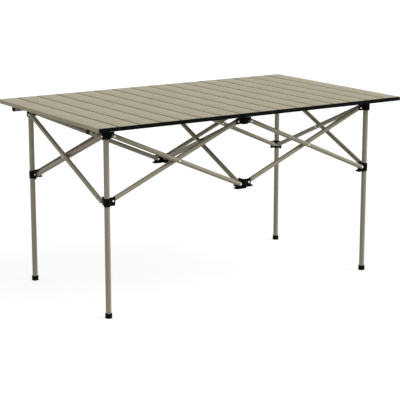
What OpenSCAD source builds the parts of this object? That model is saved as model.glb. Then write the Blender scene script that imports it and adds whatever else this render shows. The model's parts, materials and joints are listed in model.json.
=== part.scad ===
// Roll-top camp table: a top of hinged slats on two rails and a folding scissor frame.
// X runs along the table, Y to the back and Z up. The origin is on the floor below the middle.

/* [Table top] */
// Length of the table top
top_l = 1320; // [1240:1:1400]
// Depth of the table top
top_w = 786; // [740:1:840]
// Height of the top's surface above the floor
top_h = 700; // [670:1:760]
// Number of slats
slat_n = 16; // [14:1:17]
// Thickness of a slat
slat_t = 14; // [12:0.5:18]
// Width of the first and the last slat
end_slat_w = 74; // [60:0.5:84]
// Gap between two slats
seam = 6; // [4:0.1:8]
// Number of chambers in a hollow slat
chambers = 3; // [2:1:4]
// Wall of the hollow slats
slat_wall = 0.8; // [0.6:0.1:1.5]
// Rounding of the slats' long edges
slat_edge_r = 0.6; // [0.3:0.1:0.7]
// Depth of the grooves in the slats' inner sides
groove_d = 3; // [1:0.5:6]
// Thickness of the lips above and below the grooves
lip_t = 1.4; // [1.4:0.1:3]
// Thickness of the end caps' plates
cap_t = 4; // [2:0.5:8]
// Gap between two neighbouring end caps
cap_seam = 2; // [1:0.1:4]
// Rounding of the end caps' edges
cap_edge_r = 1.2; // [0.5:0.1:2]
// Depth of the end caps' plugs in the slats
cap_plug = 14; // [6:1:30]
// Diameter of the elastic cords
cord_d = 5; // [3:0.5:6]
// Distance of the cords from the table's middle
cord_y = 333; // [300:1:350]
// Diameter of the knots at the cords' ends
knot_d = 9; // [7:0.5:10]

/* [Rails] */
// Diameter of the rails
rail_d = 20; // [16:0.5:20.5]
// Wall of the rails
rail_wall = 1.2; // [0.8:0.1:2]
// Distance from the top's end to the rail's end
rail_inset = 10; // [4:1:24]
// Thickness of the plugs' caps
plug_cap_t = 4; // [2:0.5:8]
// Length of the plugs inside the rail
plug_l = 36; // [30:1:60]
// Distance of the plug's stud from the rail's end
stud_in = 17; // [12:1:28]
// Angle of the studs below the level of the rails' axes
stud_turn = 32; // [0:1:60]
// Diameter of the studs' heads
stud_head_d = 7; // [5:0.5:9]
// Diameter of the studs' flat tops
stud_top_d = 5; // [4:0.5:5]
// Height of the studs' heads
stud_head_t = 1.8; // [1:0.1:2.5]
// Diameter of the studs' shanks
stud_d = 3.6; // [2:0.2:4.4]
// Length of the studs' shanks
stud_l = 7; // [4:0.5:10]

/* [Frame] */
// Distance between neighbouring posts, along X and along Y
bay = 577; // [540:1:600]
// Height between the upper and the lower pivots
pivot_rise = 231; // [200:1:260]
// Distance of the pivots from the post's axis
pivot_off = 24; // [23.5:0.5:30]
// Diameter of the legs
leg_d = 20; // [16:0.5:20.5]
// Wall of the legs
leg_wall = 1.2; // [0.8:0.1:2]
// Diameter of the scissor bars
bar_d = 17; // [13:0.5:17.5]
// Wall of the scissor bars
bar_wall = 1.2; // [0.8:0.1:2]

/* [Feet] */
// Diameter of the feet
foot_d = 26; // [25:0.5:34]
// Height of the feet
foot_h = 18; // [12:1:30]
// Thickness of the feet's soles
sole_t = 4; // [2:0.5:8]
// Bevel on the feet's edges
foot_bevel = 2; // [0.5:0.25:2.5]

/* [Hubs] */
// Wall of the collars around the legs
collar_wall = 2.3; // [1.5:0.1:3.5]
// Thickness of the webs that carry the bars
web_t = 3; // [2:0.5:5]
// Reach of the webs past the pivots
web_past = 9; // [7:0.5:14]
// Reach of the upper hubs below their pivots
hub_skirt = 10; // [8:0.5:18]
// Reach of the webs above the lower pivots
web_rise = 14; // [11:0.5:18]
// Rounding of the webs' outer corners
web_corner_r = 4; // [1:0.5:6]
// Diameter of the upper hubs
head_d = 31; // [27:0.5:32]
// Gap between the upper hubs' side walls and the slats
saddle_low = 1; // [0.5:0.5:4]
// Depth of the upper pivots below the rails
pivot_drop = 13.5; // [12:0.5:20]
// Depth of the legs' tops below the rails
leg_drop = 4; // [3:0.5:8]
// Depth of the shelves below the lower pivots
shelf_drop = 11.5; // [10:0.5:14]
// Thickness of the shelves under the lower bar ends
shelf_t = 6; // [3:0.5:7]
// Width of the shelves, from the webs' far side
shelf_w = 20; // [14:0.5:22]
// Reach of the shelves past the pivots
shelf_past = 18; // [8:0.5:22]
// Rounding of the shelves' outer corners
shelf_corner_r = 6; // [3:0.5:9]
// Height of the sliding collars above their pivots
collar_up = 12.5; // [9:0.5:26]
// Height of the middle cores above the lower pivots
core_up = 11; // [5:0.5:12]

/* [Rivets] */
// Diameter of the rivets' shanks
pin_d = 5; // [4:0.25:6]
// Diameter of the rivets' heads
rivet_head_d = 7.25; // [6.5:0.25:8.5]
// Diameter of the rivet heads' flat tops
rivet_top_d = 4.4; // [4:0.2:6]
// Height of the rivets' heads
rivet_head_t = 1.4; // [1:0.1:1.6]
// Reach of the corner hubs' fixing rivets inside the legs
fixing_in = 2; // [1:0.5:4]
// Diameter of the spacers between crossing bars
spacer_d = 12; // [9:0.5:14]

/* [Clearances] */
// Radial clearance of a bar on its rivet
pin_gap = 0.06; // [0.03:0.01:0.1]
// Gap between a bar and what it turns beside
side_gap = 0.3; // [0.2:0.05:0.6]
// Radial clearance of the sliding collars and of the rail in its corner saddles
slide_gap = 0.4; // [0.3:0.05:0.6]
// Clearance of parts that are pushed together
fit_gap = 0.1; // [0.05:0.01:0.2]
// Gap between the rails and the webs below them
web_gap = 1; // [0.5:0.1:3]
// Gap between the slats and the rails
rest_gap = 0.3; // [0.1:0.05:0.5]

/* [Hidden] */
$fn = 48;
SLAT_COLOUR = "#b0a994";
TUBE_COLOUR = "#857d6b";
BLACK_COLOUR = "#16150f";
RIVET_COLOUR = "#dcdcd8";

// Every post is named by its column (left, middle, right) and its row (front, back).
COLUMNS = [-1, 0, 1];
ROWS = [-1, 1];
POSTS = [for (row = ROWS) for (column = COLUMNS) [column, row]];
function post_code(post) = str(post[1] < 0 ? "f" : "b", ["l", "m", "r"][post[0] + 1]);
function post_x(post) = post[0] * bay;
function post_y(post) = post[1] * bay / 2;
function is_corner(post) = post[0] != 0;

// A bar is its upper post, its lower post and the side of the webs that it lies on.
// Along X the bars that fall to the right lie in front, and along Y the sides mirror at the right end.
X_BARS = [
    for (row = ROWS) for (column = [-1, 0]) for (falling = [true, false])
        falling ? [[column, row], [column + 1, row], -1] : [[column + 1, row], [column, row], 1]
];
Y_BARS = [
    for (column = COLUMNS) for (from_front = [true, false])
        from_front
            ? [[column, -1], [column, 1], column > 0 ? -1 : 1]
            : [[column, 1], [column, -1], column > 0 ? 1 : -1]
];
BARS = concat(X_BARS, Y_BARS);
function bar_name(bar) = str("bar_", post_code(bar[0]), "_", post_code(bar[1]));

// A cross is named by the bar that starts at its left or front post.
CROSSES = [for (i = [0 : 2 : len(BARS) - 1]) BARS[i]];
function cross_name(bar) = str("cross_", post_code(bar[0]), "_", post_code(bar[1]));

function slat_name(i) = str("slat_", i < 10 ? "0" : "", i);
function hub_top_name(post) = str("hub_top_", post_code(post));
function hub_low_name(post) = str(is_corner(post) ? "slider_" : "hub_low_", post_code(post));
function leg_name(post) = str("leg_", post_code(post));
function foot_name(post) = str("foot_", post_code(post));
function rail_name(row) = row < 0 ? "rail_front" : "rail_back";

// Top and rails, stacked down from the table's surface
slat_w = (top_l - 2 * end_slat_w - (slat_n - 1) * seam) / (slat_n - 2);
slat_l = top_w - 2 * (cap_t + fit_gap);
slat_under = top_h - slat_t;
cord_z = top_h - slat_t / 2;
chamber_h = slat_t - 2 * slat_wall;
cap_past = (seam - cap_seam) / 2;
rail_r = rail_d / 2;
rail_z = slat_under - rest_gap - rail_r;
rail_under = rail_z - rail_r;
rail_l = top_l - 2 * (rail_inset + plug_cap_t + fit_gap);
rail_bore_r = rail_r - rail_wall;

// Pivots, bars and hubs, stacked down from the rails
bar_r = bar_d / 2;
leg_r = leg_d / 2;
pin_r = pin_d / 2;
rivet_rim = rivet_head_t / 2;
upper_z = rail_under - pivot_drop;
lower_z = upper_z - pivot_rise;
bar_run = bay - 2 * pivot_off;
bar_l = sqrt(bar_run * bar_run + pivot_rise * pivot_rise);
bar_fall = atan2(pivot_rise, bar_run);
bar_plane = web_t / 2 + side_gap + bar_r;
bar_face = bar_plane + bar_r + side_gap;
collar_r = leg_r + collar_wall;
leg_top = rail_under - leg_drop;
hub_under = upper_z - hub_skirt;
shelf_z = lower_z - shelf_drop;
shelf_under = shelf_z - shelf_t;

// Turn about Z from +X to the way from one post to another
function way(from, to) = atan2(to[1] - from[1], to[0] - from[0]);
// Side of the web in an ear's own frame, where +x leaves the post
function ear_side(bar, turn) = bar[2] * (turn == 0 || turn == -90 ? 1 : -1);
// The middle hubs have a shelf under each bar, and a collar only under a long side's outer bar
function has_shelf(bar, post) = !is_corner(post) || (bar[0][1] == bar[1][1] && bar[2] * post[1] > 0);

function slat_width(i) = i == 1 || i == slat_n ? end_slat_w : slat_w;
function slat_x(i) = -top_l / 2 + (i == 1 ? 0 : end_slat_w + seam + (i - 2) * (slat_w + seam));

module round_square(size_x, size_y, r) {
    for (x = [-1, 1], y = [-1, 1]) {
        translate([x * (size_x / 2 - r), y * (size_y / 2 - r)]) circle(r);
    }
    square([size_x, size_y - 2 * r], center = true);
    square([size_x - 2 * r, size_y], center = true);
}

module along_y() {
    rotate([-90, 0, 0]) children();
}

module along_x() {
    rotate([0, 90, 0]) children();
}

// Inner sides have a groove. Only the outer sides of the two end slats are plain.
function groove_left(i) = i == 1 ? 0 : groove_d;
function groove_right(i) = i == slat_n ? 0 : groove_d;

// The hollow of a slat is a row of chambers between its two sides.
function hollow_w(i) = slat_width(i) - groove_left(i) - groove_right(i);
function chamber_w(i) = (hollow_w(i) - (chambers + 1) * slat_wall) / chambers;
function chamber_x(i, c) = groove_left(i) + slat_wall + c * (chamber_w(i) + slat_wall) + chamber_w(i) / 2;

module slat_profile(i) {
    width = slat_width(i);
    difference() {
        translate([width / 2, 0]) round_square(width, slat_t, slat_edge_r);
        for (c = [0 : chambers - 1]) {
            translate([chamber_x(i, c), 0]) square([chamber_w(i), chamber_h], center = true);
        }
        if (i > 1) square([2 * groove_d, slat_t - 2 * lip_t], center = true);
        if (i < slat_n) translate([width, 0]) square([2 * groove_d, slat_t - 2 * lip_t], center = true);
    }
}

module slat_extrusion(i) {
    inner_start = i == 1 ? chamber_x(i, 0) : -seam;
    inner_end = i == slat_n ? chamber_x(i, chambers - 1) : slat_width(i) + seam;
    color(SLAT_COLOUR)
    difference() {
        translate([0, slat_l / 2, 0]) rotate([90, 0, 0]) linear_extrude(slat_l) slat_profile(i);
        for (side = ROWS) {
            translate([inner_start, side * cord_y, 0]) along_x()
                cylinder(h = inner_end - inner_start, d = cord_d + 2 * fit_gap);
        }
    }
}

// End cap: a plate over the slat's end, nearly up to the next one, and a plug in each chamber
module slat_cap(i, side) {
    plug_w = chamber_w(i) - 2 * fit_gap;
    plug_h = chamber_h - 2 * fit_gap;
    left = i == 1 ? 0 : -cap_past;
    right = slat_width(i) + (i == slat_n ? 0 : cap_past);
    color(BLACK_COLOUR)
    mirror([0, side < 0 ? 1 : 0, 0])
    translate([0, top_w / 2, 0])
    union() {
        translate([(left + right) / 2, 0, 0]) rotate([90, 0, 0])
            linear_extrude(cap_t) round_square(right - left, slat_t, cap_edge_r);
        for (c = [0 : chambers - 1]) {
            translate([chamber_x(i, c) - plug_w / 2, -cap_t - cap_plug, -plug_h / 2])
                cube([plug_w, cap_plug + cap_t / 2, plug_h]);
        }
    }
}

// Stretch of elastic cord inside one slat, with a knot at the ends of the table
module slat_cord(i) {
    first = i == 1 ? chamber_x(i, 0) : -seam / 2 + fit_gap;
    last = i == slat_n ? chamber_x(i, chambers - 1) : slat_width(i) + seam / 2 - fit_gap;
    color(BLACK_COLOUR)
    for (side = ROWS) {
        translate([0, side * cord_y, 0])
        union() {
            translate([first, 0, 0]) along_x() cylinder(h = last - first, d = cord_d);
            if (i == 1) translate([first, 0, 0]) sphere(d = knot_d);
            if (i == slat_n) translate([last, 0, 0]) sphere(d = knot_d);
        }
    }
}

module slat(i) {
    translate([slat_x(i), 0, cord_z]) {
        slat_extrusion(i);
        for (side = ROWS) slat_cap(i, side);
        slat_cord(i);
    }
}

// Rail: a tube with a plug in each end, held by a stud low on the front
module rail_plug() {
    color(BLACK_COLOUR)
    difference() {
        union() {
            translate([-plug_cap_t - fit_gap, 0, 0]) along_x() cylinder(h = plug_cap_t, r = rail_r);
            translate([-plug_cap_t, 0, 0]) along_x()
                cylinder(h = plug_cap_t + plug_l, r = rail_bore_r - fit_gap);
        }
        rotate([stud_turn, 0, 0]) translate([stud_in, -rail_r, 0]) along_y()
            cylinder(h = stud_l + fit_gap, d = stud_d + 2 * fit_gap);
    }
}

module rail_stud() {
    color(BLACK_COLOUR)
    rotate([stud_turn, 0, 0]) translate([stud_in, -rail_r - fit_gap, 0])
    union() {
        along_y() cylinder(h = stud_l, d = stud_d);
        translate([0, -stud_head_t, 0]) along_y()
            cylinder(h = stud_head_t, d1 = stud_top_d, d2 = stud_head_d);
    }
}

module rail(row) {
    translate([0, row * bay / 2, rail_z]) {
        color(TUBE_COLOUR)
        difference() {
            along_x() cylinder(h = rail_l, r = rail_r, center = true);
            along_x() cylinder(h = rail_l + 2 * plug_cap_t, r = rail_bore_r, center = true);
            for (end = [-1, 1]) {
                rotate([stud_turn, 0, 0]) translate([end * (rail_l / 2 - stud_in), -rail_r, 0]) along_y()
                    cylinder(h = 4 * rail_wall, d = stud_d + 2 * fit_gap, center = true);
            }
        }
        for (end = [-1, 1]) {
            mirror([end > 0 ? 1 : 0, 0, 0]) translate([-rail_l / 2, 0, 0]) {
                rail_plug();
                rail_stud();
            }
        }
    }
}

module rivet_head() {
    cylinder(h = rivet_rim, d = rivet_head_d);
    translate([0, 0, rivet_rim]) cylinder(h = rivet_rim, d1 = rivet_head_d, d2 = rivet_top_d);
}

// Rivet along +Z from the far face of what it holds: z is where the two heads' inner faces lie
module rivet(z_low, z_high) {
    color(RIVET_COLOUR)
    union() {
        translate([0, 0, z_low - rivet_rim]) cylinder(h = z_high - z_low + 2 * rivet_rim, r = pin_r);
        translate([0, 0, z_low]) mirror([0, 0, 1]) rivet_head();
        translate([0, 0, z_high]) rivet_head();
    }
}

// Places its children along +Z out of the outer side of a corner post, level with the upper pivots
module at_fixing(post) {
    translate([0, 0, upper_z]) mirror([post[0] < 0 ? 1 : 0, 0, 0]) along_x() children();
}

module fixing_hole(post) {
    at_fixing(post) cylinder(h = head_d, r = pin_r + fit_gap);
}

// Blind rivet through the wall of a corner hub into its leg
module fixing_rivet(post) {
    start = leg_r - leg_wall - fixing_in;
    seat = head_d / 2 + fit_gap;
    color(RIVET_COLOUR)
    at_fixing(post)
    union() {
        translate([0, 0, start]) cylinder(h = seat + rivet_rim - start, r = pin_r);
        translate([0, 0, seat]) rivet_head();
    }
}

// Web of one ear, in the plane of the bars, with its lower outer corner rounded
module web(z_low, z_high) {
    reach = pivot_off + web_past;
    height = z_high - z_low;
    r = web_corner_r;
    translate([0, web_t / 2, z_low]) rotate([90, 0, 0]) linear_extrude(web_t) {
        square([reach - r, height]);
        translate([0, r]) square([reach, height - r]);
        translate([reach - r, r]) circle(r);
    }
}

// Shelf under a lower bar's end, as a tongue on the bar's side of the web with a round outer corner
module shelf() {
    reach = pivot_off + shelf_past;
    r = shelf_corner_r;
    translate([0, -web_t / 2, shelf_under]) linear_extrude(shelf_t) {
        square([reach - r, shelf_w]);
        square([reach, shelf_w - r]);
        translate([reach - r, shelf_w - r]) circle(r);
    }
}

// Places its children in the frame of each ear of a post; end is 0 for the upper hubs and 1 for the lower
module at_ears(post, end, shelves_only = false) {
    for (bar = BARS) {
        if (bar[end] == post && (!shelves_only || has_shelf(bar, post))) {
            turn = way(bar[end], bar[1 - end]);
            rotate([0, 0, turn]) mirror([0, ear_side(bar, turn) < 0 ? 1 : 0, 0]) children();
        }
    }
}

module pin_holes(post, end, z) {
    at_ears(post, end) translate([pivot_off, 0, z]) along_y()
        cylinder(h = 2 * web_t, r = pin_r + pin_gap, center = true);
}

module hub_rivets(post, end, z) {
    at_ears(post, end) translate([pivot_off, 0, z]) along_y() rivet(-web_t / 2 - fit_gap, bar_face);
}

// Upper hub: a round body on the leg, with side walls that hold the rail and webs for the bars
module hub_top(post) {
    saddle_r = rail_r + (is_corner(post) ? slide_gap : fit_gap);
    translate([post_x(post), post_y(post), 0]) {
        color(BLACK_COLOUR)
        difference() {
            union() {
                translate([0, 0, hub_under]) cylinder(h = slat_under - saddle_low - hub_under, d = head_d);
                at_ears(post, 0) web(hub_under, rail_under - web_gap);
            }
            translate([-head_d, 0, rail_z]) along_x() linear_extrude(2 * head_d) {
                circle(saddle_r);
                translate([-head_d, -saddle_r]) square([head_d, 2 * saddle_r]);
            }
            if (is_corner(post)) {
                translate([0, 0, hub_under - web_t])
                    cylinder(h = leg_top - hub_under + web_t, r = leg_r + fit_gap);
                fixing_hole(post);
            }
            pin_holes(post, 0, upper_z);
        }
        hub_rivets(post, 0, upper_z);
        if (is_corner(post)) fixing_rivet(post);
    }
}

// Lower hub: a collar that slides on the leg, or a plain core in the middle, with webs and shelves
module hub_low(post) {
    body_z = lower_z + (is_corner(post) ? collar_up : core_up);
    translate([post_x(post), post_y(post), 0]) {
        color(BLACK_COLOUR)
        difference() {
            union() {
                translate([0, 0, shelf_under]) cylinder(h = body_z - shelf_under, r = collar_r);
                at_ears(post, 1) web(shelf_under, lower_z + web_rise);
                at_ears(post, 1, true) shelf();
            }
            if (is_corner(post)) {
                translate([0, 0, shelf_under - web_t])
                    cylinder(h = lower_z + web_rise - shelf_under + 2 * web_t, r = leg_r + slide_gap);
            }
            pin_holes(post, 1, lower_z);
        }
        hub_rivets(post, 1, lower_z);
    }
}

module leg(post) {
    color(TUBE_COLOUR)
    translate([post_x(post), post_y(post), 0])
    difference() {
        translate([0, 0, sole_t]) cylinder(h = leg_top - sole_t, r = leg_r);
        cylinder(h = leg_top + leg_wall, r = leg_r - leg_wall);
        fixing_hole(post);
    }
}

module foot(post) {
    r = foot_d / 2;
    bore_r = leg_r + fit_gap;
    color(BLACK_COLOUR)
    translate([post_x(post), post_y(post), 0])
    rotate_extrude() polygon([
        [0, 0],
        [r - foot_bevel, 0],
        [r, foot_bevel],
        [r, foot_h - foot_bevel],
        [r - foot_bevel, foot_h],
        [bore_r, foot_h],
        [bore_r, sole_t],
        [0, sole_t]
    ]);
}

// Bar along +X between its end pivots, as a tube with round ends and three cross holes
module bar_body(r) {
    along_x() cylinder(h = bar_l, r = r);
    for (x = [0, bar_l]) translate([x, 0, 0]) sphere(r);
}

module bar(bar) {
    turn = way(bar[0], bar[1]);
    color(TUBE_COLOUR)
    translate([post_x(bar[0]), post_y(bar[0]), upper_z])
    rotate([0, 0, turn])
    translate([pivot_off, ear_side(bar, turn) * bar_plane, 0])
    rotate([0, bar_fall, 0])
    difference() {
        bar_body(bar_r);
        bar_body(bar_r - bar_wall);
        for (x = [0, bar_l / 2, bar_l]) {
            translate([x, 0, 0]) along_y() cylinder(h = 2 * bar_d, r = pin_r + pin_gap, center = true);
        }
    }
}

// Rivet and spacer where two bars cross, halfway between two posts
module cross(bar) {
    translate([post_x(bar[0]), post_y(bar[0]), upper_z - pivot_rise / 2])
    rotate([0, 0, way(bar[0], bar[1])])
    translate([bay / 2, 0, 0]) along_y() {
        rivet(-bar_face, bar_face);
        color(BLACK_COLOUR)
        difference() {
            cylinder(h = web_t, d = spacer_d, center = true);
            cylinder(h = 2 * web_t, r = pin_r + pin_gap, center = true);
        }
    }
}

for (i = [1 : slat_n]) {
    slat(i);
}
for (row = ROWS) {
    rail(row);
}
for (post = POSTS) {
    hub_top(post);
    hub_low(post);
    if (is_corner(post)) {
        leg(post);
        foot(post);
    }
}
for (bar = BARS) {
    bar(bar);
}
for (bar = CROSSES) {
    cross(bar);
}
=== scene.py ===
import json
import math
import bmesh
import bpy
from mathutils import Matrix, Vector

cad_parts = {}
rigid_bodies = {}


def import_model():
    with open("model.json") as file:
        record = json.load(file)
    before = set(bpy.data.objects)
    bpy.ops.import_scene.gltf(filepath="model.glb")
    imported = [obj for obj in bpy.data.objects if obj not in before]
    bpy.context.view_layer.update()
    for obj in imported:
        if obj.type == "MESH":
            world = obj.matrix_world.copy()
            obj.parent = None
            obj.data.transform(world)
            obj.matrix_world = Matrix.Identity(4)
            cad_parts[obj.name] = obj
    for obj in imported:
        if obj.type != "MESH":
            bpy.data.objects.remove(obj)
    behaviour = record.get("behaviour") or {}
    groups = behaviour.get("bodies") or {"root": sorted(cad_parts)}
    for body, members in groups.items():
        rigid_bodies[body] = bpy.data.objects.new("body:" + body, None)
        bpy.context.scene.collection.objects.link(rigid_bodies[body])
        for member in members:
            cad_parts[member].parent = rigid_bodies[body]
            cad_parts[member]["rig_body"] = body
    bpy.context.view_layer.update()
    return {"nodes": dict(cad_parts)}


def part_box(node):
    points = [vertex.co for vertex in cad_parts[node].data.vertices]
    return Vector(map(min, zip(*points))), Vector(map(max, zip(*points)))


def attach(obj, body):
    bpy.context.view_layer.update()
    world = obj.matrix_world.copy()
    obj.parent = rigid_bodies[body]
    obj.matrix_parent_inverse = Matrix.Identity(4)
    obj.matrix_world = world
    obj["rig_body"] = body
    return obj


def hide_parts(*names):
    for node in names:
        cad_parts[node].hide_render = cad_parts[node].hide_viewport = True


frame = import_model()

nodes = frame["nodes"]
MM = 0.001


# Legs
# Four straight round aluminium tubes with a khaki powder coat, sprayed on and baked.
# Each is pushed into its corner hub above and into its foot below, so no cut end shows.
CORNERS = ("fl", "fr", "bl", "br")
LEG_SIDES = 64
SHARP_EDGE = math.radians(35)
COAT_DARK = "#968e7c"
COAT_LIGHT = "#a39c88"
COAT_DRIFT = 60 * MM
COAT_PEEL = 2.2 * MM
COAT_PEEL_DEPTH = 0.05 * MM
# A Mix node's colour sockets share their names with others, so they go by number.
MIX_SHARE, MIX_FIRST, MIX_SECOND, MIXED = 0, 6, 7, 2


def linear(colour):
    """An sRGB hex colour as linear red, green, blue and alpha."""
    parts = [int(colour[i:i + 2], 16) / 255 for i in (1, 3, 5)]
    return [p / 12.92 if p <= 0.04045 else ((p + 0.055) / 1.055) ** 2.4 for p in parts] + [1.0]


def add(tree, kind, inputs=None, **settings):
    """Adds a node to a tree. Each input is a value, or the socket that it is linked from."""
    made = tree.nodes.new(kind)
    for name, value in settings.items():
        setattr(made, name, value)
    for name, value in (inputs or {}).items():
        if isinstance(value, bpy.types.NodeSocket):
            tree.links.new(value, made.inputs[name])
        else:
            made.inputs[name].default_value = value
    return made


def new_finish(name):
    """An empty material and its node tree."""
    finish = bpy.data.materials.new(name)
    finish.use_nodes = True
    finish.node_tree.nodes.clear()
    return finish, finish.node_tree


def turned(outline, sides):
    """A mesh of (radius, height) points turned about Z, lower pole first, with UVs in metres."""
    form = bmesh.new()
    wrap = form.loops.layers.uv.new("turned")
    around = 2 * math.pi * max(radius for radius, height in outline)
    rings, lengths = [], []
    for i, (radius, height) in enumerate(outline):
        count = sides if radius > 0 else 1
        turns = [2 * math.pi * k / count for k in range(count)]
        rings.append([form.verts.new((radius * math.cos(t), radius * math.sin(t), height)) for t in turns])
        lengths.append(lengths[-1] + math.dist(outline[i - 1], outline[i]) if i else 0.0)
    for i in range(len(rings) - 1):
        for k in range(sides):
            corners = ((i, k), (i, k + 1), (i + 1, k + 1), (i + 1, k))
            places = {
                rings[r][s % len(rings[r])]: (around * s / sides, lengths[r])
                for r, s in corners
            }
            face = form.faces.new(list(places))
            for loop in face.loops:
                loop[wrap].uv = places[loop.vert]
    mesh = bpy.data.meshes.new("turned")
    form.to_mesh(mesh)
    form.free()
    return mesh


def round_tube(radius, length, sides):
    """A round tube with flat closed ends that stands on the origin along Z."""
    return turned([(0, 0), (radius, 0), (radius, length), (0, length)], sides)


def piece(name, mesh, finish, body, node):
    """Makes a mesh a piece of the table that rides on a body and stands for a CAD node."""
    mesh.name = name
    mesh.materials.clear()
    mesh.materials.append(finish)
    mesh.shade_smooth()
    mesh.set_sharp_from_angle(angle=SHARP_EDGE)
    made = bpy.data.objects.new(name, mesh)
    bpy.context.scene.collection.objects.link(made)
    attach(made, body)
    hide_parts(node)


# Powder coat on aluminium: an even satin skin with a faint orange peel and slow drifts of tone.
powder_coat, tree = new_finish("powder_coated_aluminium")
wrap = add(tree, "ShaderNodeUVMap", uv_map="turned")
drift = add(tree, "ShaderNodeTexNoise", {
    "Vector": wrap.outputs["UV"],
    "Scale": 1 / COAT_DRIFT,
    "Detail": 4.0,
})
tone = add(tree, "ShaderNodeMix", {
    MIX_SHARE: drift.outputs["Fac"],
    MIX_FIRST: linear(COAT_DARK),
    MIX_SECOND: linear(COAT_LIGHT),
}, data_type="RGBA")
satin = add(tree, "ShaderNodeMapRange", {"Value": drift.outputs["Fac"], "To Min": 0.36, "To Max": 0.52})
# The real peel is about 1 mm across. It is drawn coarser so that it shows.
peel = add(tree, "ShaderNodeTexNoise", {
    "Vector": wrap.outputs["UV"],
    "Scale": 1 / COAT_PEEL,
    "Detail": 2.0,
})
skin = add(tree, "ShaderNodeBump", {
    "Height": peel.outputs["Fac"],
    "Strength": 0.25,
    "Distance": COAT_PEEL_DEPTH,
})
coat = add(tree, "ShaderNodeBsdfPrincipled", {
    "Base Color": tone.outputs[MIXED],
    "Roughness": satin.outputs["Result"],
    "Normal": skin.outputs["Normal"],
    "Metallic": 0.2,
    "Specular IOR Level": 0.25,
})
add(tree, "ShaderNodeOutputMaterial", {"Surface": coat.outputs["BSDF"]})

for corner in CORNERS:
    low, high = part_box(f"leg_{corner}")
    leg = round_tube((high.x - low.x) / 2, high.z - low.z, LEG_SIDES)
    leg.transform(Matrix.Translation(((low.x + high.x) / 2, (low.y + high.y) / 2, low.z)))
    piece(f"leg_{corner}_tube", leg, powder_coat, f"post_{corner}", f"leg_{corner}")


# Feet
# Four black caps of moulded nylon that are pressed over the legs' lower ends. The wall is drawn in a little
# at its middle, and the sole has ring grooves that grip the ground.
FOOT_SIDES = 64
FOOT_BEVEL = 1.6 * MM
FOOT_BEVEL_BULGE = 0.3
FOOT_MOUTH = 0.5 * MM
FOOT_WAIST = 0.7 * MM
FOOT_WAIST_SHARES = (0.3, 0.45, 0.55, 0.7)
SOLE_GROOVE = 1.0 * MM
SOLE_RINGS = 3
NYLON_DARK = "#060605"
NYLON_LIGHT = "#0b0a08"
NYLON_GRAIN = 1.4 * MM
NYLON_GRAIN_DEPTH = 0.06 * MM
NYLON_FLOW = 22 * MM

# Moulded nylon: nearly black, half matt, with the fine spark grain of the mould and faint flow marks.
nylon, tree = new_finish("moulded_black_nylon")
place = add(tree, "ShaderNodeTexCoord")
flow = add(tree, "ShaderNodeTexNoise", {
    "Vector": place.outputs["Object"],
    "Scale": 1 / NYLON_FLOW,
    "Detail": 3.0,
})
tone = add(tree, "ShaderNodeMix", {
    MIX_SHARE: flow.outputs["Fac"],
    MIX_FIRST: linear(NYLON_DARK),
    MIX_SECOND: linear(NYLON_LIGHT),
}, data_type="RGBA")
# The real grain is about 0.3 mm. It is drawn coarser so that it shows.
grain = add(tree, "ShaderNodeTexNoise", {
    "Vector": place.outputs["Object"],
    "Scale": 1 / NYLON_GRAIN,
    "Detail": 3.0,
})
skin = add(tree, "ShaderNodeBump", {
    "Height": grain.outputs["Fac"],
    "Strength": 0.35,
    "Distance": NYLON_GRAIN_DEPTH,
})
matt = add(tree, "ShaderNodeMapRange", {"Value": flow.outputs["Fac"], "To Min": 0.42, "To Max": 0.6})
resin = add(tree, "ShaderNodeBsdfPrincipled", {
    "Base Color": tone.outputs[MIXED],
    "Roughness": matt.outputs["Result"],
    "Normal": skin.outputs["Normal"],
    "Specular IOR Level": 0.045,
})
add(tree, "ShaderNodeOutputMaterial", {"Surface": resin.outputs["BSDF"]})

for corner in CORNERS:
    low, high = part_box(f"foot_{corner}")
    leg_low, leg_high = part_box(f"leg_{corner}")
    radius, height = (high.x - low.x) / 2, high.z - low.z
    leg_radius = (leg_high.x - leg_low.x) / 2
    ring = (radius - FOOT_BEVEL) / (2 * SOLE_RINGS + 1)
    sole = [(0, 0)]
    for i in range(SOLE_RINGS):
        inner, outer = (2 * i + 1) * ring, (2 * i + 2) * ring
        sole += [(inner, 0), (inner, SOLE_GROOVE), (outer, SOLE_GROOVE), (outer, 0)]
    bulge = FOOT_BEVEL * FOOT_BEVEL_BULGE
    waist_start, waist_low, waist_high, waist_end = [height * share for share in FOOT_WAIST_SHARES]
    wall = [
        (radius - FOOT_BEVEL, 0),
        (radius - bulge, bulge),
        (radius, FOOT_BEVEL),
        (radius, waist_start),
        (radius - FOOT_WAIST, waist_low),
        (radius - FOOT_WAIST, waist_high),
        (radius, waist_end),
        (radius, height - FOOT_BEVEL),
        (radius - bulge, height - bulge),
        (radius - FOOT_BEVEL, height),
        (leg_radius + FOOT_MOUTH, height),
        (leg_radius, height - FOOT_MOUTH),
        (0, height - FOOT_MOUTH),
    ]
    foot = turned(sole + wall, FOOT_SIDES)
    foot.transform(Matrix.Translation(((low.x + high.x) / 2, (low.y + high.y) / 2, low.z)))
    piece(f"foot_{corner}_cap", foot, nylon, f"post_{corner}", f"foot_{corner}")


# Hubs and sliding collars
# Black nylon mouldings. The upper hubs hold the legs and the rails, the lower ones slide on the legs or hang
# free between them, and webs on all of them carry the bars' ends. Their edges are rounded by the mould.
HUBS = [n for n in nodes if n.startswith(("hub_", "slider_"))]
HUB_VOXEL = 0.55 * MM
HUB_SMOOTHING = 7
HUB_SMOOTHING_STEP = 0.5
HUB_KEPT = 0.22
MERGE_REACH = 0.001 * MM


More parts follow.
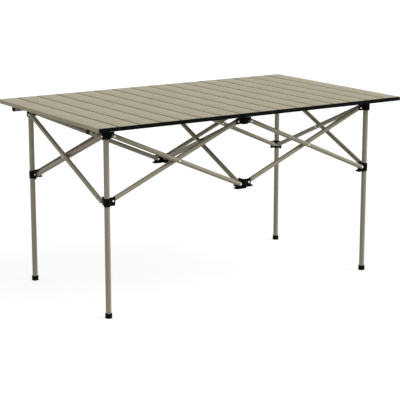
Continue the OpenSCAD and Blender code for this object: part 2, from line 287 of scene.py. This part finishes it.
def solids(node):
    """The separate solids of a CAD node, longest first: the lowest corner, the highest and a merged copy."""
    whole = bmesh.new()
    whole.from_mesh(nodes[node].data)
    bmesh.ops.remove_doubles(whole, verts=whole.verts, dist=MERGE_REACH)
    left, found = set(whole.verts), []
    while left:
        front, group = [left.pop()], []
        while front:
            vert = front.pop()
            group.append(vert)
            near = [e.other_vert(vert) for e in vert.link_edges]
            near = [v for v in near if v in left]
            left.difference_update(near)
            front += near
        low = Vector([min(v.co[a] for v in group) for a in range(3)])
        high = Vector([max(v.co[a] for v in group) for a in range(3)])
        index = {v: i for i, v in enumerate(group)}
        faces = {f for v in group for f in v.link_faces}
        mesh = bpy.data.meshes.new(node)
        mesh.from_pydata([v.co[:] for v in group], [], [[index[v] for v in f.verts] for f in faces])
        found.append((low, high, mesh))
    whole.free()
    return sorted(found, key=lambda solid: -(solid[1] - solid[0]).length)


for hub in HUBS:
    block = bpy.data.objects.new(hub, solids(hub)[0][2])
    bpy.context.scene.collection.objects.link(block)
    mould = block.modifiers.new("mould", "REMESH")
    mould.mode = "VOXEL"
    mould.voxel_size = HUB_VOXEL
    rounding = block.modifiers.new("rounding", "SMOOTH")
    rounding.factor = HUB_SMOOTHING_STEP
    rounding.iterations = HUB_SMOOTHING
    thinning = block.modifiers.new("thinning", "DECIMATE")
    thinning.ratio = HUB_KEPT
    moulding = bpy.data.meshes.new_from_object(block.evaluated_get(bpy.context.evaluated_depsgraph_get()))
    bpy.data.objects.remove(block)
    piece(f"{hub}_moulding", moulding, nylon, nodes[hub]["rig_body"], hub)


# Scissor bars
# Fourteen equal aluminium tubes with closed round ends and the same khaki powder coat as the legs.
# A rivet through each end turns in a hub's web, and a third one joins each pair where it crosses.
BAR_SIDES = 48
DOME_STEPS = 10
UP = Vector((0, 0, 1))
LEFT_TO_RIGHT = "lmr"


def quarter(steps):
    """The angles of a quarter turn in even steps."""
    return [math.pi / 2 * k / steps for k in range(steps + 1)]


def turn_to(way):
    """The turn that brings Z to another direction."""
    return UP.rotation_difference(way).to_matrix().to_4x4()


for bar in [n for n in nodes if n.startswith("bar_")]:
    low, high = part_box(bar)
    upper, lower = bar.split("_")[1:]
    along_side = upper[0] == lower[0]
    if along_side:
        radius = (high.y - low.y) / 2
        rises = LEFT_TO_RIGHT.index(upper[1]) > LEFT_TO_RIGHT.index(lower[1])
    else:
        radius = (high.x - low.x) / 2
        rises = upper[0] == "b"
    inset = Vector((radius, radius, radius))
    start, end = low + inset, high - inset
    if not rises:
        start.z, end.z = end.z, start.z
    length = (end - start).length
    dome = [(radius * math.sin(a) if a else 0, -radius * math.cos(a)) for a in quarter(DOME_STEPS)]
    tube = turned(dome + [(r, length - h) for r, h in reversed(dome)], BAR_SIDES)
    tube.transform(Matrix.Translation(start) @ turn_to(end - start))
    piece(f"{bar}_tube", tube, powder_coat, nodes[bar]["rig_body"], bar)


# Rivets
# Bright aluminium rivets, pressed cold: each has a low domed head on both sides and a shank through bar and
# web. Where two bars cross, a black nylon washer keeps them apart.
RIVET_SIDES = 32
RIVET_HEAD = 1.4 * MM
RIVET_RIM = 0.35 * MM
RIVET_SHANK = 5 * MM
RIVET_REACH = 7 * MM
RIVET_STEPS = 7
RIVET_BRIGHT = "#e9e9e5"
RIVET_DULL = "#c9c8c2"
RIVET_MARKS = 2.5 * MM
WASHER_ROUND = 0.5 * MM

# Bare pressed aluminium: bright, with soft press marks that make the gloss uneven.
bright_rivet, tree = new_finish("bright_pressed_aluminium")
place = add(tree, "ShaderNodeTexCoord")
marks = add(tree, "ShaderNodeTexNoise", {
    "Vector": place.outputs["Object"],
    "Scale": 1 / RIVET_MARKS,
    "Detail": 3.0,
})
tone = add(tree, "ShaderNodeMix", {
    MIX_SHARE: marks.outputs["Fac"],
    MIX_FIRST: linear(RIVET_BRIGHT),
    MIX_SECOND: linear(RIVET_DULL),
}, data_type="RGBA")
gloss = add(tree, "ShaderNodeMapRange", {"Value": marks.outputs["Fac"], "To Min": 0.22, "To Max": 0.42})
metal = add(tree, "ShaderNodeBsdfPrincipled", {
    "Base Color": tone.outputs[MIXED],
    "Roughness": gloss.outputs["Result"],
    "Metallic": 1.0,
})
add(tree, "ShaderNodeOutputMaterial", {"Surface": metal.outputs["BSDF"]})

# Rivet heads: one turned head set on each point, with its top towards the point's outward direction.
rivet_tree = bpy.data.node_groups.new("rivet_heads", "GeometryNodeTree")
for name, kind in (("Points", "Geometry"), ("Head", "Object"), ("Finish", "Material")):
    rivet_tree.interface.new_socket(name, in_out="INPUT", socket_type=f"NodeSocket{kind}")
rivet_tree.interface.new_socket("Heads", in_out="OUTPUT", socket_type="NodeSocketGeometry")
given = add(rivet_tree, "NodeGroupInput")
head = add(rivet_tree, "GeometryNodeObjectInfo", {"Object": given.outputs["Head"]})
outward = add(rivet_tree, "GeometryNodeInputNamedAttribute", {"Name": "outward"}, data_type="FLOAT_VECTOR")
facing = add(rivet_tree, "FunctionNodeAlignRotationToVector", {
    "Vector": outward.outputs["Attribute"],
}, axis="Z")
copies = add(rivet_tree, "GeometryNodeInstanceOnPoints", {
    "Points": given.outputs["Points"],
    "Instance": head.outputs["Geometry"],
    "Rotation": facing.outputs["Rotation"],
})
real = add(rivet_tree, "GeometryNodeRealizeInstances", {"Geometry": copies.outputs["Instances"]})
dressed = add(rivet_tree, "GeometryNodeSetMaterial", {
    "Geometry": real.outputs["Geometry"],
    "Material": given.outputs["Finish"],
})
add(rivet_tree, "NodeGroupOutput", {"Heads": dressed.outputs["Geometry"]})


def grown(tree, values, start=None):
    """The plain mesh that a geometry tree makes from a start mesh and from values for its named inputs."""
    carrier = bpy.data.objects.new("growing", start or bpy.data.meshes.new("growing"))
    bpy.context.scene.collection.objects.link(carrier)
    growth = carrier.modifiers.new("growth", "NODES")
    growth.node_group = tree
    for socket in tree.interface.items_tree:
        if socket.in_out == "INPUT" and socket.name in values:
            growth[socket.identifier] = values[socket.name]
    mesh = bpy.data.meshes.new_from_object(carrier.evaluated_get(bpy.context.evaluated_depsgraph_get()))
    bpy.data.objects.remove(carrier)
    return mesh


def headed_pin(shank_radius, reach, radius, rim, height, steps):
    """A pin along Z, with a low domed head that sits on the origin and a shank that reaches below it."""
    outline = [(0, -reach), (shank_radius, -reach), (shank_radius, 0), (radius, 0)]
    for k, a in enumerate(quarter(steps)):
        outline.append((radius * math.cos(a) if k < steps else 0, rim + (height - rim) * math.sin(a)))
    return turned(outline, RIVET_SIDES)


rivet_low, rivet_high = solids("cross_fl_fm")[0][:2]
rivet_radius = (rivet_high.x - rivet_low.x) / 2
rivet_form = headed_pin(RIVET_SHANK / 2, RIVET_REACH, rivet_radius, RIVET_RIM, RIVET_HEAD, RIVET_STEPS)
rivet_pattern = bpy.data.objects.new("rivet_head", rivet_form)
bpy.context.scene.collection.objects.link(rivet_pattern)

for node in HUBS + [n for n in nodes if n.startswith("cross_")]:
    body = nodes[node]["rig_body"]
    if node in HUBS:
        name, rivets, washers = f"{node}_rivets", solids(node)[1:], []
    else:
        rivet, washer = solids(node)
        name, rivets, washers = f"{node}_rivet", [rivet], [washer]
    seats, ways = [], []
    for low, high, _ in rivets:
        size, middle = high - low, (low + high) / 2
        axis = max(range(3), key=lambda a: size[a])
        for sign in (-1, 1):
            way = Vector([sign * (a == axis) for a in range(3)])
            seats.append(middle + way * (size[axis] / 2 - RIVET_HEAD))
            ways.append(way)
    points = bpy.data.meshes.new("rivet_points")
    points.from_pydata(seats, [], [])
    outwards = points.attributes.new("outward", "FLOAT_VECTOR", "POINT")
    outwards.data.foreach_set("vector", [part for way in ways for part in way])
    heads = grown(rivet_tree, {"Head": rivet_pattern, "Finish": bright_rivet}, points)
    piece(name, heads, bright_rivet, body, node)
    for low, high, _ in washers:
        size, middle = high - low, (low + high) / 2
        axis = min(range(3), key=lambda a: size[a])
        half, radius = size[axis] / 2, max(size) / 2
        ring = turned([
            (0, -half),
            (radius - WASHER_ROUND, -half),
            (radius, -half + WASHER_ROUND),
            (radius, half - WASHER_ROUND),
            (radius - WASHER_ROUND, half),
            (0, half),
        ], RIVET_SIDES)
        ring.transform(Matrix.Translation(middle) @ turn_to(Vector([a == axis for a in range(3)])))
        piece(f"{node}_washer", ring, nylon, body, node)
bpy.data.objects.remove(rivet_pattern)


# Rails
# Two long round tubes, coated like the legs, that lie in the saddles of the upper hubs and carry the slats.
# A black nylon plug closes each end, and a small black stud low on the front holds it.
RAIL_SIDES = 48
PLUG_ROUND = 1.6 * MM
PLUG_STEPS = 5
PLUG_REACH = 12 * MM
PLUG_FIT = 0.8
STUD_RIM = 0.5 * MM
STUD_HEAD = 1.8 * MM
STUD_REACH = 4 * MM
STUD_STEPS = 5
TO_RIGHT = Matrix.Rotation(math.pi / 2, 4, "Y")
TO_LEFT = Matrix.Rotation(-math.pi / 2, 4, "Y")

for rail in ("rail_front", "rail_back"):
    body = nodes[rail]["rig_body"]
    found = sorted(solids(rail), key=lambda solid: solid[0].x - solid[1].x)
    low, high, _ = found[0]
    plugs = sorted(found[1:3], key=lambda solid: solid[0].x)
    studs = sorted(found[3:5], key=lambda solid: solid[0].x)
    radius, middle = (high.z - low.z) / 2, (low + high) / 2
    tube = round_tube(radius, high.x - low.x, RAIL_SIDES)
    tube.transform(Matrix.Translation((low.x, middle.y, middle.z)) @ TO_RIGHT)
    piece(f"{rail}_tube", tube, powder_coat, body, rail)
    for side, rail_end, plug_end, facing in (
        ("left", low.x, plugs[0][0].x, TO_LEFT),
        ("right", high.x, plugs[1][1].x, TO_RIGHT),
    ):
        cap = abs(plug_end - rail_end)
        shank = [(0, -PLUG_REACH), (radius * PLUG_FIT, -PLUG_REACH), (radius * PLUG_FIT, 0), (radius, 0)]
        rim = [
            (radius - PLUG_ROUND * (1 - math.cos(a)), cap - PLUG_ROUND * (1 - math.sin(a)))
            for a in quarter(PLUG_STEPS)
        ]
        plug = turned(shank + rim + [(0, cap)], RAIL_SIDES)
        plug.transform(Matrix.Translation((rail_end, middle.y, middle.z)) @ facing)
        piece(f"{rail}_plug_{side}", plug, nylon, body, rail)
    for side, (stud_low, stud_high, _) in zip(("left", "right"), studs):
        stud_radius, stud_middle = (stud_high.x - stud_low.x) / 2, (stud_low + stud_high) / 2
        stud = headed_pin(stud_radius / 2, STUD_REACH, stud_radius, STUD_RIM, STUD_HEAD, STUD_STEPS)
        behind = Vector((stud_middle.x, middle.y, middle.z))
        way = (stud_middle - behind).normalized()
        stud.transform(Matrix.Translation(behind + radius * way) @ turn_to(way))
        piece(f"{rail}_stud_{side}", stud, nylon, body, rail)


# Slats
# Sixteen hollow aluminium extrusions side by side, anodised in pale champagne, the two end ones narrower.
# They lie loose on the rails. Their inner sides are grooved, so the seams between them look dark.
SLATS = sorted(n for n in nodes if n.startswith("slat_"))
SLAT_EDGE = 0.6 * MM
SLAT_EDGE_STEPS = 4
SLAT_GROOVE = 3 * MM
SLAT_LIP = 0.9 * MM
SEAM_EASE = 0.75 * MM
CUTTER_LENGTHS = 3.0
ANODISE_DARK = "#a0987e"
ANODISE_LIGHT = "#aaa389"
DIE_LINE = 1.6 * MM
DIE_LINE_RUN = 0.9
DIE_LINE_DEPTH = 0.02 * MM
BATCH_DRIFT = 90 * MM
ETCH_GRAIN = 1.5 * MM

# Anodised extrusion: a satin etched skin in champagne, with faint die lines along each slat and slow drifts.
anodised, tree = new_finish("champagne_anodised_aluminium")
place = add(tree, "ShaderNodeTexCoord")
stretched = add(tree, "ShaderNodeMapping", {
    "Vector": place.outputs["Object"],
    "Scale": (1 / DIE_LINE, 1 / DIE_LINE_RUN, 1 / DIE_LINE),
})
# Real die lines are a few tenths of a millimetre apart. They are drawn coarser so that they show.
lines = add(tree, "ShaderNodeTexNoise", {
    "Vector": stretched.outputs["Vector"],
    "Scale": 1.0,
    "Detail": 4.0,
})
drift = add(tree, "ShaderNodeTexNoise", {
    "Vector": place.outputs["Object"],
    "Scale": 1 / BATCH_DRIFT,
    "Detail": 3.0,
})
etch = add(tree, "ShaderNodeTexNoise", {
    "Vector": place.outputs["Object"],
    "Scale": 1 / ETCH_GRAIN,
    "Detail": 2.0,
})
drifting = add(tree, "ShaderNodeMath", {
    0: lines.outputs["Fac"],
    1: drift.outputs["Fac"],
}, operation="MULTIPLY")
spread = add(tree, "ShaderNodeMapRange", {
    "Value": drifting.outputs["Value"],
    "From Min": 0.12,
    "From Max": 0.4,
})
tone = add(tree, "ShaderNodeMix", {
    MIX_SHARE: spread.outputs["Result"],
    MIX_FIRST: linear(ANODISE_DARK),
    MIX_SECOND: linear(ANODISE_LIGHT),
}, data_type="RGBA")
satin = add(tree, "ShaderNodeMapRange", {"Value": lines.outputs["Fac"], "To Min": 0.42, "To Max": 0.58})
ridges = add(tree, "ShaderNodeMath", {0: lines.outputs["Fac"], 1: etch.outputs["Fac"]}, operation="ADD")
skin = add(tree, "ShaderNodeBump", {
    "Height": ridges.outputs["Value"],
    "Strength": 0.2,
    "Distance": DIE_LINE_DEPTH,
})
oxide = add(tree, "ShaderNodeBsdfPrincipled", {
    "Base Color": tone.outputs[MIXED],
    "Roughness": satin.outputs["Result"],
    "Normal": skin.outputs["Normal"],
    "Metallic": 0.15,
    "Specular IOR Level": 0.15,
})
add(tree, "ShaderNodeOutputMaterial", {"Surface": oxide.outputs["BSDF"]})

# Grooved bars: a rounded rectangle pushed along Y and grooved at its two sides, repeated in a row along Y.
# A groove is cut where its middle is given, so a middle outside the bar leaves that side plain.
bar_tree = bpy.data.node_groups.new("grooved_bars", "GeometryNodeTree")
bar_tree.interface.new_socket("Geometry", in_out="INPUT", socket_type="NodeSocketGeometry")
for kind, names in (
    ("Float", ("Width", "Thickness", "Edge", "Length")),
    ("Float", ("Groove Width", "Groove Height", "Left Groove", "Right Groove")),
    ("Int", ("Count", "Edge Steps")),
    ("Vector", ("First", "Step")),
    ("Material", ("Finish",)),
):
    for name in names:
        bar_tree.interface.new_socket(name, in_out="INPUT", socket_type=f"NodeSocket{kind}")
bar_tree.interface.new_socket("Bars", in_out="OUTPUT", socket_type="NodeSocketGeometry")
given = add(bar_tree, "NodeGroupInput")
box = add(bar_tree, "GeometryNodeCurvePrimitiveQuadrilateral", {
    "Width": given.outputs["Width"],
    "Height": given.outputs["Thickness"],
})
soft = add(bar_tree, "GeometryNodeFilletCurve", {
    "Curve": box.outputs["Curve"],
    "Count": given.outputs["Edge Steps"],
    "Radius": given.outputs["Edge"],
}, mode="POLY")
section = add(bar_tree, "GeometryNodeFillCurve", {"Curve": soft.outputs["Curve"]}, mode="NGONS")
pushed = add(bar_tree, "GeometryNodeExtrudeMesh", {
    "Mesh": section.outputs["Mesh"],
    "Offset Scale": given.outputs["Length"],
}, mode="FACES")
back = add(bar_tree, "GeometryNodeFlipFaces", {"Mesh": section.outputs["Mesh"]})
closed = add(bar_tree, "GeometryNodeJoinGeometry", {"Geometry": pushed.outputs["Mesh"]})
bar_tree.links.new(back.outputs["Mesh"], closed.inputs["Geometry"])
plain = add(bar_tree, "GeometryNodeMergeByDistance", {
    "Geometry": closed.outputs["Geometry"],
    "Distance": MERGE_REACH,
})
cutter_length = add(bar_tree, "ShaderNodeMath", {
    0: given.outputs["Length"],
    1: CUTTER_LENGTHS,
}, operation="MULTIPLY")
cutter_size = add(bar_tree, "ShaderNodeCombineXYZ", {
    "X": given.outputs["Groove Width"],
    "Y": given.outputs["Groove Height"],
    "Z": cutter_length.outputs["Value"],
})
cutter = add(bar_tree, "GeometryNodeMeshCube", {"Size": cutter_size.outputs["Vector"]})
grooved = add(bar_tree, "GeometryNodeMeshBoolean", {
    "Mesh 1": plain.outputs["Geometry"],
}, operation="DIFFERENCE")
for side in ("Left Groove", "Right Groove"):
    groove_middle = add(bar_tree, "ShaderNodeCombineXYZ", {"X": given.outputs[side]})
    moved = add(bar_tree, "GeometryNodeTransform", {
        "Geometry": cutter.outputs["Mesh"],
        "Translation": groove_middle.outputs["Vector"],
    })
    bar_tree.links.new(moved.outputs["Geometry"], grooved.inputs["Mesh 2"])
laid = add(bar_tree, "GeometryNodeTransform", {
    "Geometry": grooved.outputs["Mesh"],
    "Rotation": (math.pi / 2, 0, 0),
})
row = add(bar_tree, "GeometryNodeMeshLine", {
    "Count": given.outputs["Count"],
    "Start Location": given.outputs["First"],
    "Offset": given.outputs["Step"],
}, mode="OFFSET")
copies = add(bar_tree, "GeometryNodeInstanceOnPoints", {
    "Points": row.outputs["Mesh"],
    "Instance": laid.outputs["Geometry"],
})
real = add(bar_tree, "GeometryNodeRealizeInstances", {"Geometry": copies.outputs["Instances"]})
dressed = add(bar_tree, "GeometryNodeSetMaterial", {
    "Geometry": real.outputs["Geometry"],
    "Material": given.outputs["Finish"],
})
add(bar_tree, "NodeGroupOutput", {"Bars": dressed.outputs["Geometry"]})


def slat_solids(slat):
    """A slat's CAD solids from the longest along Y to the shortest: the extrusion, two caps and two cords."""
    return sorted(solids(slat), key=lambda solid: solid[0].y - solid[1].y)


for slat in SLATS:
    low, high, _ = slat_solids(slat)[0]
    # The sides at a seam stand back a little more than the solid's, so that the dark line shows from afar.
    low = low if slat == SLATS[0] else low + Vector((SEAM_EASE, 0, 0))
    high = high if slat == SLATS[-1] else high - Vector((SEAM_EASE, 0, 0))
    middle, size = (low + high) / 2, high - low
    no_groove = 2 * size.x
    extrusion = grown(bar_tree, {
        "Width": size.x,
        "Thickness": size.z,
        "Edge": SLAT_EDGE,
        "Edge Steps": SLAT_EDGE_STEPS,
        "Length": size.y,
        "Groove Width": 2 * SLAT_GROOVE,
        "Groove Height": size.z - 2 * SLAT_LIP,
        "Left Groove": -no_groove if slat == SLATS[0] else -size.x / 2,
        "Right Groove": no_groove if slat == SLATS[-1] else size.x / 2,
        "Count": 1,
        "First": Vector((middle.x, high.y, middle.z)),
        "Step": Vector((0, 0, 0)),
        "Finish": anodised,
    })
    piece(f"{slat}_extrusion", extrusion, anodised, slat, slat)


# End caps
# A black nylon cap on each end of each slat. Its plate covers the hollow and reaches over half the seam, and
# its plug, inside, holds by friction. Together the caps make the black line along the table's long sides.
CAP_EDGE = 1.2 * MM
CAP_ROUND = 0.7 * MM
CAP_ROUND_STEPS = 3
CAP_ROUND_ANGLE = math.radians(60)

for slat in SLATS:
    extrusion_end = slat_solids(slat)[0][1].y
    low, high, _ = max(slat_solids(slat)[1:3], key=lambda solid: solid[1].y)
    middle, size = (low + high) / 2, high - low
    plate = high.y - extrusion_end
    no_groove = 2 * size.x
    caps = grown(bar_tree, {
        "Width": size.x,
        "Thickness": size.z,
        "Edge": CAP_EDGE,
        "Edge Steps": SLAT_EDGE_STEPS,
        "Length": plate,
        "Groove Width": size.x,
        "Groove Height": size.z,
        "Left Groove": -no_groove,
        "Right Groove": no_groove,
        "Count": 2,
        "First": Vector((middle.x, high.y, middle.z)),
        "Step": Vector((0, plate - 2 * high.y, 0)),
        "Finish": nylon,
    })
    sharp_caps = bpy.data.objects.new(slat, caps)
    bpy.context.scene.collection.objects.link(sharp_caps)
    rounding = sharp_caps.modifiers.new("rounding", "BEVEL")
    rounding.width = CAP_ROUND
    rounding.segments = CAP_ROUND_STEPS
    rounding.limit_method = "ANGLE"
    rounding.angle_limit = CAP_ROUND_ANGLE
    caps = bpy.data.meshes.new_from_object(sharp_caps.evaluated_get(bpy.context.evaluated_depsgraph_get()))
    bpy.data.objects.remove(sharp_caps)
    piece(f"{slat}_caps", caps, nylon, slat, slat)


# Elastic cords
# Two black braided cords run through all slats inside and hold them together. Only the short stretches in the
# seams can be seen, so each slat carries its own stretch, out to the middle of the seam.
CORD_SIDES = 20
CORD_RADIUS = 2.5 * MM
BRAID_STEP = 1.508 * MM
BRAID_DEPTH = 0.2 * MM
# Width of one band of a wave texture at a scale of 1.
WAVE_BAND = math.pi / 10
BRAID_DARK = "#0d0d0d"
BRAID_LIGHT = "#262524"

# Braided polyester: matt black, with the fine slanted steps of the braid.
braid, tree = new_finish("braided_polyester")
wrap = add(tree, "ShaderNodeUVMap", uv_map="turned")
slanted = add(tree, "ShaderNodeMapping", {"Vector": wrap.outputs["UV"], "Rotation": (0, 0, math.pi / 4)})
strands = add(tree, "ShaderNodeTexWave", {
    "Vector": slanted.outputs["Vector"],
    "Scale": WAVE_BAND / BRAID_STEP,
})
tone = add(tree, "ShaderNodeMix", {
    MIX_SHARE: strands.outputs["Fac"],
    MIX_FIRST: linear(BRAID_DARK),
    MIX_SECOND: linear(BRAID_LIGHT),
}, data_type="RGBA")
skin = add(tree, "ShaderNodeBump", {
    "Height": strands.outputs["Fac"],
    "Strength": 0.6,
    "Distance": BRAID_DEPTH,
})
yarn = add(tree, "ShaderNodeBsdfPrincipled", {
    "Base Color": tone.outputs[MIXED],
    "Normal": skin.outputs["Normal"],
    "Roughness": 0.85,
    "Specular IOR Level": 0.2,
})
add(tree, "ShaderNodeOutputMaterial", {"Surface": yarn.outputs["BSDF"]})

for slat in SLATS:
    cords = sorted(slat_solids(slat)[3:], key=lambda solid: solid[0].y)
    for side, (low, high, _) in zip(("front", "back"), cords):
        middle = (low + high) / 2
        cord = round_tube(CORD_RADIUS, high.x - low.x, CORD_SIDES)
        cord.transform(Matrix.Translation((low.x, middle.y, middle.z)) @ TO_RIGHT)
        piece(f"{slat}_cord_{side}", cord, braid, slat, slat)


# Studio
# A plain pale floor that runs to the horizon and a white surround, both lit softly from above.
# What the camera and mirror-like faces see of them is white, and the floor keeps a faint shadow of the table.
FLOOR_HALF = 80.0
FLOOR_DROP = 0.2 * MM
FLOOR_COLOUR = "#a8a8a6"
FLOOR_GLOW = 0.74
WHITE = "#ffffff"
SURROUND_LIGHT = 0.585
SKY_LIGHT = 1.7
SKY_SOFTNESS = math.radians(45)
SKY_FROM = Vector((0.75, -0.6, 0.7))
SKY_DISTANCE = 3


def seen_ray(tree):
    """A socket that is 1 for what the camera sees, straight, in a gloss or through glass, and else 0."""
    rays = add(tree, "ShaderNodeLightPath")
    straight_or_gloss = add(tree, "ShaderNodeMath", {
        0: rays.outputs["Is Camera Ray"],
        1: rays.outputs["Is Glossy Ray"],
    }, operation="MAXIMUM")
    seen = add(tree, "ShaderNodeMath", {
        0: straight_or_gloss.outputs["Value"],
        1: rays.outputs["Is Transmission Ray"],
    }, operation="MAXIMUM")
    return seen.outputs["Value"]


floor_form = bpy.data.meshes.new("floor")
floor_corners = [
    (x * FLOOR_HALF, y * FLOOR_HALF, -FLOOR_DROP) for x, y in ((-1, -1), (1, -1), (1, 1), (-1, 1))
]
floor_form.from_pydata(floor_corners, [], [(0, 1, 2, 3)])
floor = bpy.data.objects.new("floor", floor_form)
bpy.context.scene.collection.objects.link(floor)

floor_paint, tree = new_finish("white_studio_floor")
strength = add(tree, "ShaderNodeMath", {0: seen_ray(tree), 1: FLOOR_GLOW}, operation="MULTIPLY")
glow = add(tree, "ShaderNodeEmission", {"Color": linear(WHITE), "Strength": strength.outputs["Value"]})
paint = add(tree, "ShaderNodeBsdfDiffuse", {"Color": linear(FLOOR_COLOUR)})
shown = add(tree, "ShaderNodeAddShader", {0: glow.outputs["Emission"], 1: paint.outputs["BSDF"]})
add(tree, "ShaderNodeOutputMaterial", {"Surface": shown.outputs["Shader"]})
floor_form.materials.append(floor_paint)

surround = bpy.data.worlds.new("white_surround")
surround.use_nodes = True
tree = surround.node_tree
tree.nodes.clear()
strength = add(tree, "ShaderNodeMapRange", {
    "Value": seen_ray(tree),
    "To Min": SURROUND_LIGHT,
    "To Max": 1.0,
})
sky = add(tree, "ShaderNodeBackground", {"Color": linear(WHITE), "Strength": strength.outputs["Result"]})
add(tree, "ShaderNodeOutputWorld", {"Surface": sky.outputs["Background"]})
bpy.context.scene.world = surround

sky_lamp = bpy.data.lights.new("soft_sky", "SUN")
sky_lamp.energy = SKY_LIGHT
sky_lamp.angle = SKY_SOFTNESS
soft_sky = bpy.data.objects.new("soft_sky", sky_lamp)
soft_sky.location = SKY_DISTANCE * SKY_FROM
soft_sky.rotation_euler = (-SKY_FROM).to_track_quat("-Z", "Y").to_euler()
bpy.context.scene.collection.objects.link(soft_sky)


# Camera
# A long lens from the front left, a little above the table, as in the photograph.
PHOTO_SIDE = 400
FOCAL_PIXELS = 1371.3
SENSOR_WIDTH = 36.0
CAMERA_PLACE = Vector((-2.846, -4.342, 1.484))
CAMERA_TURN = math.radians(33.22)
CAMERA_TILT = math.radians(12.84)

lens = bpy.data.cameras.new("camera")
lens.sensor_width = SENSOR_WIDTH
lens.lens = SENSOR_WIDTH * FOCAL_PIXELS / PHOTO_SIDE
camera = bpy.data.objects.new("camera", lens)
camera.location = CAMERA_PLACE
look = Vector((
    math.sin(CAMERA_TURN) * math.cos(CAMERA_TILT),
    math.cos(CAMERA_TURN) * math.cos(CAMERA_TILT),
    -math.sin(CAMERA_TILT),
))
camera.rotation_euler = look.to_track_quat("-Z", "Y").to_euler()
bpy.context.scene.collection.objects.link(camera)
bpy.context.scene.camera = camera
bpy.context.scene.view_settings.view_transform = "Standard"
